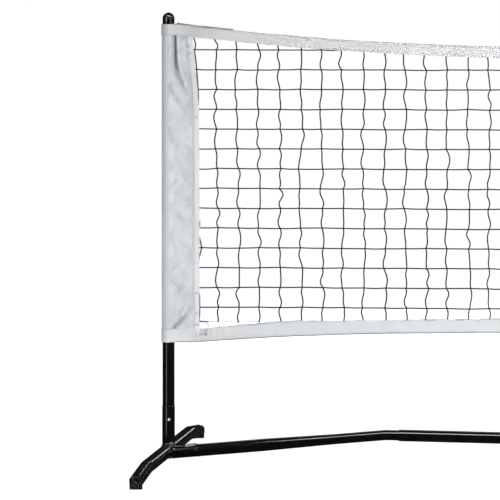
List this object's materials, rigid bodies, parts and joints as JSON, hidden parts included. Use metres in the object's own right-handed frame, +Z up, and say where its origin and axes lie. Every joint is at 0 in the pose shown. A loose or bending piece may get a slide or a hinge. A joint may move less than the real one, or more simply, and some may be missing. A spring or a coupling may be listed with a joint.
{
  "type": "portable low net on poles",
  "caption": "Free-standing low sports net: black mesh with pale bands and end sleeves over two capped poles on bent cross feet, joined by a plug-together bottom rail.",
  "frame": {"origin": "on the ground under the middle of the net, midway between the poles and between the front and rear ends of the feet", "axes": "+X along the net from the left pole to the right pole, +Y from the front to the back, +Z up"},
  "size_m": [3.0288, 0.5592, 0.939],
  "materials": {
    "black_steel": "gloss black powder coat",
    "black_plastic": "gloss moulded plastic",
    "spring_steel": "bright nickel plate",
    "eyelet_metal": "nickel plate",
    "band_fabric": "pale grey-white coated polyester, plain weave",
    "netting_cord": "twisted black polyethylene cord",
    "webbing": "flat woven webbing",
    "twine": "twisted off-white twine"
  },
  "bodies": {
    "frame": {"left_foot_tube": "black_steel", "left_front_plug": "black_plastic", "left_rear_plug": "black_plastic", "left_upright_socket": "black_steel", "left_rail_socket": "black_steel", "left_pole": "black_steel", "left_pole_cap": "black_plastic", "left_pole_clip": "spring_steel", "left_end_rail": "black_steel", "left_rail_clip": "spring_steel", "left_middle_rail": "black_steel", "right_foot_tube": "black_steel", "right_front_plug": "black_plastic", "right_rear_plug": "black_plastic", "right_upright_socket": "black_steel", "right_rail_socket": "black_steel", "right_pole": "black_steel", "right_pole_cap": "black_plastic", "right_pole_clip": "spring_steel", "right_end_rail": "black_steel", "right_rail_clip": "spring_steel", "right_middle_rail": "black_steel"},
    "net": {"left_sleeve": "band_fabric", "left_eyelet": "eyelet_metal", "left_tie": "twine", "right_sleeve": "band_fabric", "right_eyelet": "eyelet_metal", "right_tie": "twine", "row_cords": "netting_cord", "column_cords": "netting_cord", "top_band": "band_fabric", "bottom_band": "band_fabric", "head_strap": "webbing", "foot_strap": "webbing"},
    "left_pole_button": {"left_pole_button": "spring_steel"},
    "left_rail_button": {"left_rail_button": "spring_steel"},
    "right_pole_button": {"right_pole_button": "spring_steel"},
    "right_rail_button": {"right_rail_button": "spring_steel"}
  },
  "joints": [
    {"name": "net_slide", "type": "slide", "parent": "frame", "child": "net", "axis": [0, 0, 1], "range_m": [-0.12, 0.7]},
    {"name": "left_pole_button_press", "type": "slide", "parent": "frame", "child": "left_pole_button", "axis": [-0.2756, 0.9613, 0], "range_m": [0, 0.0033], "stiffness_N_per_m": 1500, "springref_m": -0.002, "deforming": ["left_pole_clip"]},
    {"name": "left_rail_button_press", "type": "slide", "parent": "frame", "child": "left_rail_button", "axis": [0.0275, 0.9397, -0.3409], "range_m": [0, 0.0033], "stiffness_N_per_m": 1500, "springref_m": -0.002, "deforming": ["left_rail_clip"]},
    {"name": "right_pole_button_press", "type": "slide", "parent": "frame", "child": "right_pole_button", "axis": [0.2756, 0.9613, 0], "range_m": [0, 0.0033], "stiffness_N_per_m": 1500, "springref_m": -0.002, "deforming": ["right_pole_clip"]},
    {"name": "right_rail_button_press", "type": "slide", "parent": "frame", "child": "right_rail_button", "axis": [-0.0275, 0.9397, -0.3409], "range_m": [0, 0.0033], "stiffness_N_per_m": 1500, "springref_m": -0.002, "deforming": ["right_rail_clip"]}
  ]
}
